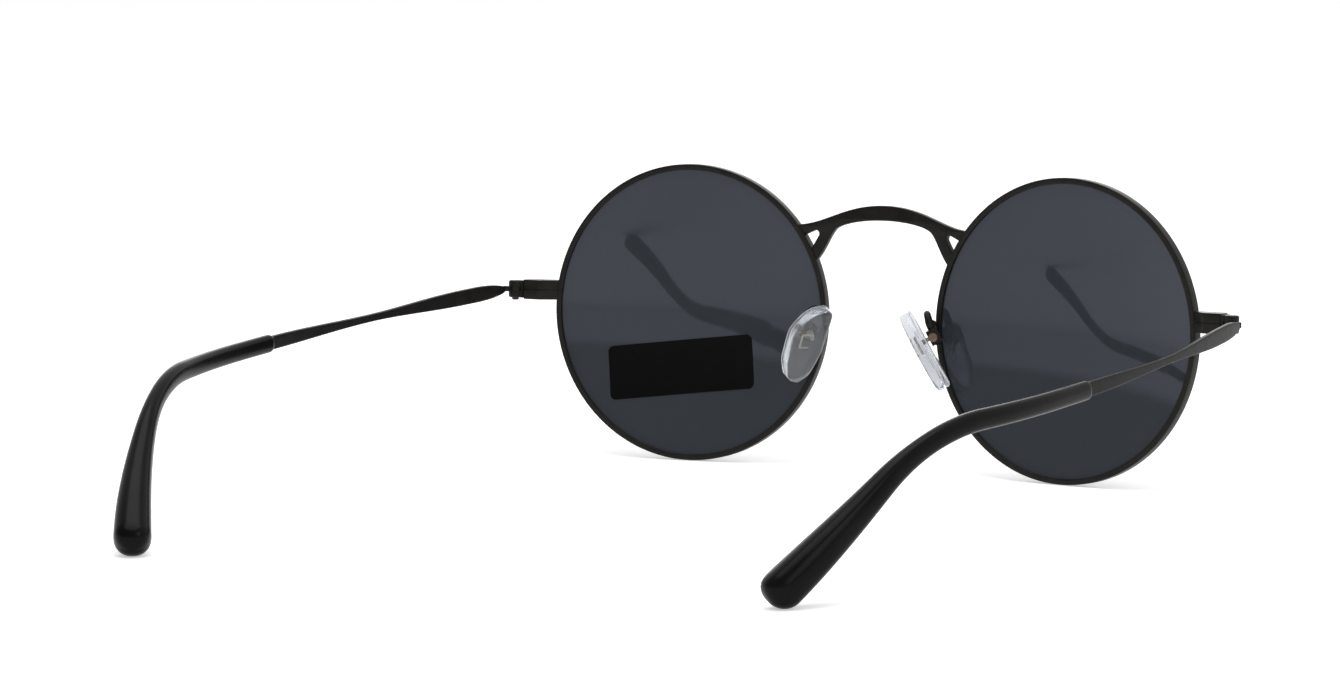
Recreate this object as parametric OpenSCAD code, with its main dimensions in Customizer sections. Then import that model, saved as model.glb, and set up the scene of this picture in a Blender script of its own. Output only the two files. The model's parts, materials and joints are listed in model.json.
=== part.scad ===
// Round wire-frame sunglasses with folding temples, open and standing on a table.
// Millimetres. In the front's own frame the lens centres lie on X, +X is the wearer's left,
// +Y points back towards the face and +Z is up. The last module leans that frame onto the table.
// The right-hand pieces are mirror images of the left-hand ones.

/* [Lenses] */
// Diameter of each lens over its bevelled edge
lens_d = 50; // [44:1:54]
// Distance between the two lens centres
lens_centres = 72; // [68:1:76]
// Thickness of each lens
lens_t = 1.8; // [1.4:0.1:2.4]
// Radius of the hollow back of each lens
lens_back_r = 88; // [70:2:130]
// Height of the V-shaped bevel round each lens
lens_bevel = 0.5; // [0.4:0.05:0.6]
// Angle by which each lens wraps back towards the temple
wrap = 5.9; // [3:0.1:8]

/* [Rims] */
// Depth of the rim wire, front to back
rim_depth = 1.9; // [1.7:0.1:2.4]
// Metal left behind the bottom of the lens groove
rim_wall = 0.45; // [0.35:0.05:0.8]
// Play of the lens in its groove
lens_gap = 0.05; // [0.03:0.01:0.1]
// Chamfer along the edges of the rim wire
rim_edge = 0.15; // [0.05:0.05:0.25]
// Width of the slit that opens each rim for its lens
rim_slit = 0.15; // [0.1:0.05:0.3]

/* [Bridge] */
// Height of the crest of the bridge above the lens centres
bridge_top = 19.5; // [18.5:0.1:21]
// Height of the bar at the crest
bridge_bar = 2.55; // [2:0.05:3.2]
// Thickness of the bridge plate, front to back
bridge_t = 1.3; // [1:0.1:1.6]
// Height where the upper edge of the bridge meets the rims
bridge_join_top = 15.85; // [15:0.05:16.6]
// Height where the lower edge of the bridge meets the rims
bridge_join_low = 9.9; // [9:0.1:10.6]
// Radius of the forward bow of the bridge, seen from above
bridge_bow_r = 150; // [110:5:200]
// Distance of the shoulder of the arch from the middle
shoulder_x = 9; // [8.4:0.1:9.4]
// Drop of the shoulder below the inner crest
shoulder_drop = 1.55; // [1.2:0.05:1.9]
// Height of the upper corner of the window against the rim
window_top = 14.1; // [13.6:0.1:14.3]
// Height of the lower corner of the window against the rim
window_low = 11.9; // [11.6:0.1:12.6]
// How far the window reaches from the rim towards the middle
window_reach = 3.45; // [2:0.05:3.6]
// Radius of the inner corner of the window
window_round = 0.6; // [0.3:0.05:0.8]

/* [End pieces] */
// Height of the middle of the end pieces and hinges above the lens centres
end_z = 2.9; // [2:0.1:4]
// Height of each pair of closing blocks
block_h = 3.4; // [3.2:0.1:4.2]
// How far the closing blocks reach out from the rim
block_w = 5.4; // [5:0.1:6]
// How far the closing blocks stand behind the rim
block_back = 2.1; // [1.8:0.1:2.4]
// Corner radius of the closing blocks, seen from above
block_round = 0.8; // [0.4:0.1:1.2]
// Shank radius of the closing screws
close_r = 0.6; // [0.5:0.05:0.7]
// Head radius of the closing screws
close_head_r = 0.95; // [0.85:0.05:1]

/* [Hinges] */
// Distance of the hinge axis outside the closing blocks
hinge_out = 1.8; // [1.7:0.1:2.2]
// Distance of the hinge axis in front of the back of the closing blocks
hinge_in = 0.5; // [0.3:0.1:0.6]
// Height of each complete hinge
hinge_h = 3; // [2.8:0.1:3.1]
// Outer radius of the hinge knuckles
knuckle_r = 1.2; // [1.1:0.05:1.25]
// Height of the middle knuckle, which turns with the temple
tongue_h = 0.9; // [0.8:0.05:1]
// Gap above and below the middle knuckle
knuckle_gap = 0.05; // [0.03:0.01:0.08]
// Shank radius of the hinge screws
pin_r = 0.6; // [0.5:0.05:0.65]
// Radial play of the middle knuckle on its screw
pin_fit = 0.05; // [0.03:0.01:0.08]
// Head radius of the hinge screws
pin_head_r = 0.85; // [0.75:0.05:0.9]
// Depth of every screw head
head_t = 0.35; // [0.3:0.05:0.4]
// Length of screw that shows below each hinge
pin_end = 0.4; // [0.2:0.05:0.6]
// Driver slot width of the screws
slot_w = 0.28; // [0.2:0.02:0.32]

/* [Temples] */
// Length of each temple from hinge axis to end, along its middle line
temple_len = 142.5; // [134:0.5:152]
// Distance of the temple's middle line outside the hinge axis
temple_offset = 1.4; // [1.3:0.05:1.6]
// Outward angle of the temple at the hinge
splay = 10.2; // [8:0.1:12]
// Radius of the bow of the temple in front of the ear, seen from above
bow_r = 335; // [260:5:400]
// Distance from hinge axis to the start of the inward curl behind the ear
curl_start = 76; // [70:1:90]
// Radius of that inward curl, seen from above
curl_r = 112; // [80:2:150]
// Downward slope of the temple before the ear bend
slope = 5.6; // [4:0.1:6.5]
// Distance from hinge axis to the start of the ear bend
bend_start = 95; // [90:0.5:102]
// Radius of the ear bend
bend_r = 36.5; // [28:0.5:46]
// Downward slope of the temple behind the ear
ear_slope = 41; // [36:1:48]
// Distance from hinge axis to the front of the blade
blade_front = 1.3; // [1.2:0.1:1.6]
// Length of the rounded front of the blade
blade_nose = 7.5; // [5:0.5:9]
// Height of the blade at its broadest
blade_h = 2.65; // [2.4:0.05:3.2]
// Height of the blade at its waist
waist_h = 1.25; // [1.1:0.05:1.8]
// Height of the blade where it enters the tip
entry_h = 2.25; // [2:0.05:2.4]
// Thickness of the blade
blade_t = 0.95; // [0.8:0.05:1.05]
// Inward lean of the upper edge of the blade
blade_lean = 4; // [0:1:10]
// Distance from hinge axis to the broadest place of the blade
blade_at = 12; // [11:0.5:16]
// Distance from hinge axis to the waist of the blade
waist_at = 37; // [30:1:42]
// Height of the core wire inside the tip
core_h = 1.4; // [1.2:0.05:1.6]
// Length of tip beyond the end of the core wire
core_short = 9; // [7:1:14]

/* [Temple tips] */
// Distance from hinge axis to the front of the tip
tip_at = 66; // [60:1:72]
// Height of the tip at its front
tip_front_h = 3; // [2.9:0.05:3.3]
// Thickness of the tip at its front
tip_front_t = 2.1; // [1.9:0.05:2.4]
// Height of the tip at the ear bend
tip_bend_h = 3.25; // [3:0.05:3.6]
// Thickness of the tip at the ear bend
tip_bend_t = 2.65; // [2.4:0.05:3.2]
// Height of the tip at its broad end
tip_end_h = 6.2; // [5.4:0.1:6.8]
// Thickness of the tip at its broad end
tip_end_t = 6; // [5.2:0.1:6.6]
// Length of the rounded end
tip_round = 3.1; // [2.4:0.1:3.8]
// Play of the metal inside the tip
core_gap = 0.05; // [0.03:0.01:0.1]

/* [Nose pads] */
// Distance of each pad's core outside the nose side of its rim
pad_out = 0; // [-0.2:0.02:0.4]
// Distance of each pad's core behind the front
pad_y = 3.05; // [2.8:0.05:3.4]
// Height of each pad's core above the lens centres
pad_z = -4.2; // [-5:0.1:-3.4]
// Distance of each pad's middle behind its core
pad_back = 0.7; // [0.4:0.1:0.9]
// Outward turn of the pads, seen from above
pad_splay = 28; // [25:1:31]
// Inward lean of the upper ends of the pads
pad_tilt = 29; // [25:1:32]
// Length of each pad
pad_len = 14.3; // [13:0.1:15.5]
// Width of each pad
pad_w = 7.3; // [6.8:0.1:8]
// Thickness of each pad at its middle
pad_t = 2.65; // [2.4:0.05:2.8]
// Radius of the crown on the nose side
pad_crown_r = 120; // [80:5:200]
// Thickness of the stiff core plate inside each pad
core_plate_t = 0.6; // [0.5:0.05:0.7]
// Distance from the pad's middle plane to its pivot screw
pivot_out = 2.4; // [2.35:0.05:2.5]
// Height of the pivot screw above the core's middle
pivot_up = 1.3; // [0.5:0.1:1.5]
// Shank radius of the pad screws
pad_screw_r = 0.5; // [0.4:0.05:0.52]
// Radial play of the pad's lug on its screw
lug_fit = 0.05; // [0.03:0.01:0.08]
// Outer radius of the lug
lug_r = 0.8; // [0.75:0.05:0.82]
// Thickness of the lug along its screw
lug_t = 1.3; // [1.1:0.05:1.4]
// Side play of the lug in its box
lug_gap = 0.1; // [0.06:0.02:0.16]
// Wall of the pad box beside the lug
box_wall = 0.55; // [0.45:0.05:0.7]
// Outer height of the pad box
box_h = 2.6; // [2.4:0.1:2.8]
// Wire radius of the pad arms
arm_r = 0.58; // [0.5:0.02:0.64]

/* [Lens sticker] */
// Width of the sticker
sticker_w = 26.8; // [20:0.1:30]
// Height of the sticker
sticker_h = 9.3; // [7:0.1:11]
// Thickness of the sticker
sticker_t = 0.12; // [0.08:0.02:0.2]
// Corner radius of the sticker
sticker_round = 1; // [0.5:0.1:2]
// Slant of the sticker
sticker_slant = 6.8; // [0:0.2:10]

/* [Hidden] */

paint = [0.13, 0.13, 0.13];
blade_grey = [0.27, 0.27, 0.28];
acetate = [0.07, 0.07, 0.08];
glass = [0.24, 0.26, 0.29];
silicone = [0.88, 0.89, 0.9];
brass = [0.62, 0.5, 0.34];
steel = [0.3, 0.3, 0.31];
film = [0.02, 0.02, 0.02];

// Extra length of a cut beyond the face that it leaves
over = 0.5;
// Fineness of small round parts and of the large lens and bow radii
fine = 48;
ring_fine = 180;
wide_fine = 360;

// Radii of the lens edge, the groove and the rim wire
lens_r = lens_d / 2;
rim_in_r = lens_r - lens_bevel;
groove_r = lens_r + lens_gap;
rim_out_r = groove_r + rim_wall;
centre_x = lens_centres / 2;

// Both faces of a lens are spheres about one centre on the lens axis, behind the lens
lens_front_r = lens_back_r + lens_t;
seat_r = rim_in_r - lens_gap;
sphere_y = sqrt(pow(lens_back_r + lens_t / 2, 2) - seat_r * seat_r);

// Closing blocks and hinge, in the front's frame
block_z0 = end_z - block_h / 2;
rim_side_x = centre_x + rim_out_r * cos(wrap);
rim_side_y = rim_out_r * sin(wrap);
block_x1 = rim_side_x + block_w;
block_y0 = rim_side_y - rim_depth / 2;
block_y1 = rim_side_y + rim_depth / 2 + block_back;
close_x = block_x1 - close_head_r - 0.85;
close_y = (block_y0 + block_y1) / 2 - 0.1;
hinge_x = block_x1 + hinge_out;
hinge_y = block_y1 - hinge_in;
tongue_space = tongue_h + 2 * knuckle_gap;
plate_x1 = hinge_x - knuckle_r - 0.1;
solder_gap = 0.1;
thread_fit = 0.02;

// Distances along the temple's middle line
path_step = 0.5;
path_n = ceil(temple_len / path_step);
bend_end = bend_start + (ear_slope - slope) * PI / 180 * bend_r;
core_end = temple_len - core_short;
sleeve_bend_at = (bend_start + bend_end) / 2;

// Play between the lug and the floor of the pad box, and wall of that floor
box_floor = 0.3;
box_play = 0.1;
box_front = pivot_out - 0.7;
box_back = pivot_out + lug_r + box_play + box_floor;
box_half_y = lug_t / 2 + lug_gap + box_wall;

// General shapes

function unit(v) = v / norm(v);
function smooth(t) = t * t * (3 - 2 * t);

// Value at s on a smooth curve through stations [s, value]
function through(table, s, i = 0) =
    s <= table[0][0] ? table[0][1] :
    i >= len(table) - 1 ? table[len(table) - 1][1] :
    s <= table[i + 1][0] ?
        table[i][1] + (table[i + 1][1] - table[i][1])
            * smooth((s - table[i][0]) / (table[i + 1][0] - table[i][0])) :
    through(table, s, i + 1);

// Points of a cubic curve
function curve(a, b, c, d, n) = [for (i = [0:n]) let (t = i / n, u = 1 - t)
    u * u * u * a + 3 * u * u * t * b + 3 * u * t * t * c + t * t * t * d];

// Points of a closed outline with the corner at each [x, y, radius] rounded
function rounded(corners, n = 6) = [for (i = [0:len(corners) - 1])
    let (
        count = len(corners),
        p = [corners[i][0], corners[i][1]],
        q0 = corners[(i + count - 1) % count],
        q1 = corners[(i + 1) % count],
        u = unit([q0[0], q0[1]] - p),
        v = unit([q1[0], q1[1]] - p),
        half = acos(u * v) / 2,
        r = corners[i][2],
        middle = p + unit(u + v) * r / sin(half),
        start = p + u * r / tan(half) - middle,
        turn = (u[0] * v[1] - u[1] * v[0] < 0 ? 1 : -1) * (180 - 2 * half)
    )
    for (k = [0:n])
        let (a = turn * k / n)
        middle + [start[0] * cos(a) - start[1] * sin(a), start[0] * sin(a) + start[1] * cos(a)]];

// Closed skin over a list of rings that have the same number of points
module skin(rings) {
    sides = len(rings[0]);
    last = len(rings) - 1;
    points = [for (ring = rings) for (p = ring) p];
    walls = [for (i = [0:last - 1]) for (k = [0:sides - 1])
        let (a = i * sides + k, b = i * sides + (k + 1) % sides)
        each [[a, b, a + sides], [b, b + sides, a + sides]]];
    front = [[for (k = [0:sides - 1]) sides - 1 - k]];
    back = [[for (k = [0:sides - 1]) last * sides + k]];
    polyhedron(points = points, faces = concat(walls, front, back), convexity = 10);
}

module on_y(length, from = 0) translate([0, from, 0]) rotate([-90, 0, 0])
    linear_extrude(height = length) children();

module mirrored() mirror([1, 0, 0]) children();

// Lens frame: its X runs out along the rim plane and its Y is the lens axis

module at_lens() translate([centre_x, 0, 0]) rotate([0, 0, wrap]) children();

function lens_point(x, y, z) =
    [centre_x + x * cos(wrap) - y * sin(wrap), x * sin(wrap) + y * cos(wrap), z];

// X of the outside of the rim on the nose side, at a height above the lens centres
function nasal_x(z) = centre_x - sqrt(rim_out_r * rim_out_r - z * z) * cos(wrap);

module rim_round() at_lens() rotate([-90, 0, 0])
    cylinder(r = rim_out_r, h = 40, center = true, $fn = ring_fine);

// Rims and lenses

module rim() {
    half = rim_depth / 2;
    lip = lens_bevel + lens_gap;
    color(paint) difference() {
        at_lens() rotate([-90, 0, 0]) rotate_extrude($fn = ring_fine) polygon([
            [rim_in_r + rim_edge, -half],
            [rim_out_r - rim_edge, -half],
            [rim_out_r, -half + rim_edge],
            [rim_out_r, half - rim_edge],
            [rim_out_r - rim_edge, half],
            [rim_in_r + rim_edge, half],
            [rim_in_r, half - rim_edge],
            [rim_in_r, lip],
            [groove_r, 0],
            [rim_in_r, -lip],
            [rim_in_r, -half + rim_edge]
        ]);
        translate([rim_side_x, rim_side_y, end_z])
            cube([6, 2 * rim_depth, rim_slit], center = true);
    }
}

module lens_blank() rotate([-90, 0, 0]) rotate_extrude($fn = ring_fine) polygon([
    [0, -lens_t * 5],
    [seat_r, -lens_t * 5],
    [seat_r, -lens_bevel],
    [lens_r, 0],
    [seat_r, lens_bevel],
    [seat_r, lens_t * 3],
    [0, lens_t * 3]
]);

module lens_sphere(r) translate([0, sphere_y, 0]) sphere(r = r, $fn = wide_fine);

module lens() color(glass) at_lens() intersection() {
    lens_blank();
    difference() {
        lens_sphere(lens_front_r);
        lens_sphere(lens_back_r);
    }
}

module sticker() {
    w = sticker_w / 2;
    h = sticker_h / 2;
    color(film) at_lens() intersection() {
        translate([2.6, 0, -9.7]) rotate([0, sticker_slant, 0]) rotate([90, 0, 0])
            linear_extrude(height = 8, center = true) polygon(rounded([
                [-w, -h, sticker_round],
                [w, -h, sticker_round],
                [w, h, sticker_round],
                [-w, h, sticker_round]
            ]));
        difference() {
            lens_sphere(lens_back_r);
            lens_sphere(lens_back_r - sticker_t);
        }
    }
}

// Bridge: a pierced arch, cut from a plate that bows gently forward

bridge_half = nasal_x(bridge_join_top);
bridge_in_z = bridge_top - bridge_bar;

function bridge_upper() = curve(
    [0, bridge_top],
    [0.47 * bridge_half, bridge_top],
    [0.68 * bridge_half, bridge_join_top + 0.3],
    [bridge_half, bridge_join_top], 14);

function bridge_lower() =
    let (low = [nasal_x(bridge_join_low), bridge_join_low], shoulder = bridge_in_z - shoulder_drop)
    concat(
        curve([0, bridge_in_z], [4, bridge_in_z],
            [shoulder_x - 1.4, shoulder + 0.9], [shoulder_x, shoulder], 8),
        curve([shoulder_x, shoulder], [shoulder_x + 1.2, shoulder - 0.9],
            [low[0] - 1.6, low[1] + 1.8], low, 10));

module bridge_half_outline() {
    deep = 3;
    upper = bridge_upper();
    lower = bridge_lower();
    low_end = lower[len(lower) - 1];
    difference() {
        polygon(concat(
            upper,
            [[bridge_half + deep, bridge_join_top], [bridge_half + deep, low_end[1]]],
            [for (i = [len(lower) - 1:-1:0]) lower[i]]));
        polygon(rounded([
            [nasal_x(window_top) + deep, window_top - 0.45 * deep, 0.1],
            [nasal_x(window_top) - window_reach, window_top + 0.45 * window_reach,
                window_round],
            [nasal_x(window_low) + deep, window_low - 1.7 * deep, 0.1]
        ]));
    }
}

module bridge() {
    join_y = -sqrt(pow(rim_out_r, 2) - pow(bridge_join_top, 2)) * sin(wrap);
    crest_y = join_y - (bridge_bow_r - sqrt(pow(bridge_bow_r, 2) - pow(bridge_half, 2)));
    tall = 2 * bridge_top;
    color(paint) difference() {
        intersection() {
            rotate([90, 0, 0]) linear_extrude(height = 20, center = true) {
                bridge_half_outline();
                mirror([1, 0]) bridge_half_outline();
            }
            translate([0, crest_y + bridge_bow_r, 0]) difference() {
                cylinder(r = bridge_bow_r + bridge_t / 2, h = tall, $fn = wide_fine);
                translate([0, 0, -over])
                    cylinder(r = bridge_bow_r - bridge_t / 2, h = tall + 2 * over, $fn = wide_fine);
            }
        }
        rim_round();
        mirrored() rim_round();
    }
}

// End pieces: each pair of closing blocks joins the two ends of a rim and carries the hinge

module closing_block(z0, z1) difference() {
    translate([0, 0, z0]) linear_extrude(height = z1 - z0) polygon(rounded([
        [rim_side_x - 3, block_y0, 0.1],
        [block_x1, block_y0, block_round + 0.8],
        [block_x1, block_y1, 0.2],
        [rim_side_x - 3, block_y1, 0.1]
    ]));
    rim_round();
}

module upper_closing_block() color(paint) difference() {
    closing_block(end_z + rim_slit / 2, end_z + block_h / 2);
    translate([close_x, close_y, block_z0 - over]) cylinder(
        r = close_r + pin_fit, h = block_h + 2 * over, $fn = fine);
    translate([close_x, close_y, end_z + block_h / 2 - head_t])
        cylinder(r = close_head_r + pin_fit, h = head_t + over, $fn = fine);
}

module lower_closing_block() color(paint) difference() {
    closing_block(block_z0, end_z - rim_slit / 2);
    translate([close_x, close_y, block_z0 - over]) cylinder(
        r = close_r + thread_fit, h = block_h + 2 * over, $fn = fine);
}

// Slotted screw that hangs from its head at z = 0, with a small chamfer at its end
module screw(shank_r, head_r, length) difference() {
    rotate_extrude($fn = fine) polygon([
        [0, 0],
        [head_r, 0],
        [head_r, -head_t],
        [shank_r, -head_t],
        [shank_r, -length + 0.12],
        [shank_r - 0.12, -length],
        [0, -length]
    ]);
    translate([0, 0, -head_t * 0.3])
        cube([3 * head_r, slot_w, head_t * 0.6 + 0.001], center = true);
}

module closing_screw() color(steel) translate([close_x, close_y, end_z + block_h / 2])
    screw(close_r, close_head_r, block_h);

module knuckle(r, bore_r, h) difference() {
    cylinder(r = r, h = h, $fn = fine);
    translate([0, 0, -over]) cylinder(r = bore_r, h = h + 2 * over, $fn = fine);
}

module front_hinge() {
    z0 = end_z - hinge_h / 2;
    ear_h = (hinge_h - tongue_space) / 2;
    plate_y0 = hinge_y - 2.3;
    color(paint) difference() {
        union() {
            translate([block_x1, plate_y0, z0])
                cube([plate_x1 - block_x1, block_y1 - plate_y0, hinge_h]);
            for (z = [z0, z0 + ear_h + tongue_space]) {
                translate([hinge_x, hinge_y, z]) cylinder(r = knuckle_r, h = ear_h, $fn = fine);
                translate([block_x1, hinge_y - knuckle_r, z])
                    cube([hinge_x - block_x1, knuckle_r + hinge_in, ear_h]);
            }
        }
        translate([hinge_x, hinge_y, z0 - over])
            cylinder(r = pin_r + thread_fit, h = hinge_h + 2 * over, $fn = fine);
        translate([hinge_x, hinge_y, z0 + hinge_h - head_t])
            cylinder(r = pin_head_r + pin_fit, h = head_t + over, $fn = fine);
        translate([block_x1 - over, plate_y0 - over, z0 - over])
            cube([solder_gap + over, 8, end_z - z0 + over]);
    }
}

module hinge_screw() color(steel) translate([hinge_x, hinge_y, end_z + hinge_h / 2])
    screw(pin_r, pin_head_r, hinge_h + pin_end);

// Temples: a blade swept along the middle line, with a core wire inside the tip

function heading(s) =
    splay - (min(s, curl_start) / bow_r + max(s - curl_start, 0) / curl_r) * 180 / PI;
function dip(s) =
    s < bend_start ? slope :
    s < bend_end ? slope + (s - bend_start) / bend_r * 180 / PI : ear_slope;
function path_dir(s) =
    [sin(heading(s)) * cos(dip(s)), cos(heading(s)) * cos(dip(s)), -sin(dip(s))];

path = [for (i = 0, p = [hinge_x + temple_offset, hinge_y, end_z];
    i <= path_n;
    p = p + path_step * path_dir((i + 0.5) * path_step), i = i + 1) p];

function path_point(s) =
    let (
        i = min(floor(s / path_step), path_n - 1),
        t = s / path_step - i
    )
    path[i] + t * (path[i + 1] - path[i]);

// Ring of points across the middle line: rounder where the power is near 2
function section(s, h, t, lean, power, sides) =
    let (
        d = path_dir(s),
        out = [cos(heading(s)), -sin(heading(s)), 0],
        up = cross(out, d),
        e_up = up * cos(lean) + out * sin(lean),
        e_out = out * cos(lean) - up * sin(lean),
        p = path_point(s)
    )
    [for (k = [0:sides - 1])
        let (
            a = 360 * (k + 0.5) / sides,
            x = sign(cos(a)) * pow(abs(cos(a)), 2 / power),
            y = sign(sin(a)) * pow(abs(sin(a)), 2 / power)
        )
        p + e_out * x * t / 2 + e_up * y * h / 2];

blade_heights = [
    [blade_at, blade_h],
    [waist_at, waist_h],
    [tip_at - 1, entry_h],
    [tip_at + 1, entry_h],
    [tip_at + 8, core_h]
];
leans = [[blade_front, 0], [blade_at, -blade_lean], [bend_start, -blade_lean], [bend_end, 0]];

// The blade's front is a quarter ellipse that starts as high as the tongue
blade_lead = 1 - sqrt(1 - pow(tongue_h / blade_h, 2));
function blade_height(s) =
    let (u = min(1, blade_lead + (1 - blade_lead) * (s - blade_front) / blade_nose))
    through(blade_heights, s) * sqrt(1 - (1 - u) * (1 - u));

blade_stations = concat(
    [for (i = [0:28]) blade_front + (waist_at - 1 - blade_front) * pow(i / 28, 1.3)],
    [for (i = [1:10]) waist_at + (tip_at - 1 - waist_at) * i / 10],
    [tip_at + 1, tip_at + 3, tip_at + 5, tip_at + 8],
    [for (i = [1:18]) tip_at + 8 + (core_end - tip_at - 8) * i / 18]);

module blade_skin(grow, stations) skin([for (s = stations)
    section(s, blade_height(s) + 2 * grow, blade_t + 2 * grow,
        through(leans, s), 3.4, 12)]);

module temple() color(blade_grey) blade_skin(0, blade_stations);

tip_heights = [
    [tip_at, tip_front_h],
    [sleeve_bend_at, tip_bend_h],
    [temple_len, tip_end_h]
];
tip_widths = [
    [tip_at, tip_front_t],
    [sleeve_bend_at, tip_bend_t],
    [temple_len, tip_end_t]
];

// The tip's size falls along a quarter ellipse over its rounded end, and a little at its front
function end_factor(s) =
    s > temple_len - tip_round ?
        sqrt(max(0.02, 1 - pow((s - temple_len + tip_round) / tip_round, 2))) :
    s < tip_at + 0.4 ? 0.9 + 0.25 * (s - tip_at) : 1;

tip_stations = concat(
    [tip_at, tip_at + 0.15, tip_at + 0.4],
    [for (i = [1:10]) tip_at + 0.4 + (bend_start - tip_at - 0.4) * i / 10],
    [for (i = [1:20]) bend_start + (temple_len - tip_round - bend_start) * i / 20],
    [for (a = [20, 38, 54, 68, 80, 90]) temple_len - tip_round + tip_round * sin(a)]);

tip_rings = [for (s = tip_stations)
    section(s, through(tip_heights, s) * end_factor(s), through(tip_widths, s) * end_factor(s),
        through(leans, s), 2.5, 16)];

channel_stations = concat(
    [for (i = [-2:1:6]) tip_at + i + 1],
    [tip_at + 8],
    [for (i = [1:18]) tip_at + 8 + (core_end + 0.3 - tip_at - 8) * i / 18]);

module temple_tip() color(acetate) difference() {
    skin(tip_rings);
    blade_skin(core_gap, channel_stations);
}

// Middle knuckle with the tongue that carries the blade
module temple_hinge() {
    inner_x = temple_offset - blade_t / 2 - 2 * thread_fit;
    front_y1 = blade_front - solder_gap;
    color(paint) difference() {
        translate([hinge_x, hinge_y, end_z - tongue_h / 2]) linear_extrude(height = tongue_h) {
            circle(r = knuckle_r, $fn = fine);
            rotate(-splay) polygon([
                [0, 0.2],
                [inner_x + 0.1, 0.2],
                [inner_x + blade_t, blade_front - 0.4],
                [inner_x + blade_t, front_y1],
                [inner_x, front_y1],
                [inner_x, blade_front + 1.8],
                [inner_x - 0.25, blade_front + 0.4]
            ]);
        }
        translate([hinge_x, hinge_y, end_z - tongue_h])
            cylinder(r = pin_r + pin_fit, h = 2 * tongue_h, $fn = fine);
    }
}

// Nose pads. In a pad's frame X points away from the nose, Y back and Z up along the pad.

pad_pos = [nasal_x(pad_z) + pad_out, pad_y, pad_z];

module at_pad() translate(pad_pos) rotate([0, 0, -pad_splay]) rotate([0, -pad_tilt, 0])
    children();

function pad_point(p) =
    let (
        q = [
            p[0] * cos(pad_tilt) - p[2] * sin(pad_tilt),
            p[1],
            p[0] * sin(pad_tilt) + p[2] * cos(pad_tilt)
        ]
    )
    pad_pos + [
        q[0] * cos(pad_splay) + q[1] * sin(pad_splay),
        q[1] * cos(pad_splay) - q[0] * sin(pad_splay),
        q[2]
    ];

// Solid of an outline drawn in the pad's Y and Z, from one X to another
module pad_plate(x0, x1) translate([x0, 0, 0]) rotate([90, 0, 90])
    linear_extrude(height = x1 - x0) children();

module pad_outline() {
    w = pad_w / 2;
    l = pad_len / 2;
    translate([pad_back, 0]) polygon(rounded([
        [-0.89 * w, 0.89 * l, 1.1],
        [-0.53 * w, 1.005 * l, 1.6],
        [0.32 * w, 0.94 * l, 4.2],
        [1.03 * w, 0.4 * l, 4.5],
        [0.94 * w, -0.42 * l, 4],
        [0.53 * w, -0.95 * l, 2.2],
        [-0.16 * w, -1.03 * l, 2],
        [-0.74 * w, -0.81 * l, 2.6],
        [-1.01 * w, -0.15 * l, 6]
    ], 5));
}

module nose_pad() {
    h = pad_len * 0.22 + lens_gap;
    w = pad_w * 0.22 + lens_gap;
    color(silicone) at_pad() difference() {
        intersection() {
            pad_plate(-pad_t / 2, pad_t / 2) pad_outline();
            translate([pad_crown_r - pad_t / 2, pad_back, 0]) sphere(r = pad_crown_r, $fn = ring_fine);
        }
        translate([-0.1 - lens_gap, -w, -h])
            cube([core_plate_t + 2 * lens_gap, 2 * w, 2 * h]);
        translate([0, -lug_t / 2 - lens_gap, pivot_up - 0.6 - lens_gap])
            cube([pad_t, lug_t + 2 * lens_gap, 1.2 + 2 * lens_gap]);
    }
}

module pad_core() {
    h = pad_len * 0.22;
    w = pad_w * 0.22;
    color(silicone) at_pad() difference() {
        union() {
            translate([-0.1, -w, -h]) cube([core_plate_t, 2 * w, 2 * h]);
            translate([0, -lug_t / 2, pivot_up - 0.6]) cube([pivot_out, lug_t, 1.2]);
            translate([pivot_out, 0, pivot_up]) on_y(lug_t, -lug_t / 2)
                circle(r = lug_r, $fn = fine);
        }
        translate([pivot_out, 0, pivot_up]) on_y(2 * lug_t, -lug_t)
            circle(r = pad_screw_r + lug_fit, $fn = fine);
    }
}

module pad_box() color(paint) at_pad() difference() {
    translate([box_front, -box_half_y, pivot_up - box_h / 2])
        cube([box_back - box_front, 2 * box_half_y, box_h]);
    translate([box_front - over, -lug_t / 2 - lug_gap, pivot_up - box_h / 2 + 0.35])
        cube([box_back - box_floor - box_front + over, lug_t + 2 * lug_gap, box_h - 0.7]);
    translate([pivot_out, 0, pivot_up]) on_y(4 * box_half_y, -2 * box_half_y)
        circle(r = pad_screw_r + thread_fit, $fn = fine);
}

module pad_screw() color(brass) at_pad()
    translate([pivot_out, box_half_y + head_t, pivot_up]) rotate([-90, 0, 0])
        screw(pad_screw_r, 0.75, 2 * box_half_y + head_t);

// Arm of each pad: from the back of the rim, up and round a loop, down to the pad box

arm_x = pivot_out + 0.4;
arm_z = pivot_up + box_h / 2;
arm_foot_angle = 188;

// Point behind the rim wire at an angle round the rim, lifted off it by a gap
function foot_point(angle, gap) =
    let (r = rim_out_r - 2 * rim_edge)
    lens_point(r * cos(angle), rim_depth / 2 + arm_r + gap, r * sin(angle));

arm_points = [
    pad_point([arm_x, 0, arm_z + solder_gap]),
    pad_point([arm_x + 0.1, 0, arm_z + 1]),
    pad_point([arm_x + 0.4, -0.4, arm_z + 2]),
    pad_point([arm_x + 0.5, -1.5, arm_z + 2.45]),
    pad_point([arm_x + 0.4, -2.6, arm_z + 2]),
    pad_point([arm_x + 0.2, -3.1, arm_z + 0.8]),
    foot_point(arm_foot_angle - 8, 0.4),
    foot_point(arm_foot_angle - 4, 0.02),
    foot_point(arm_foot_angle, 0.02)
];

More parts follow.
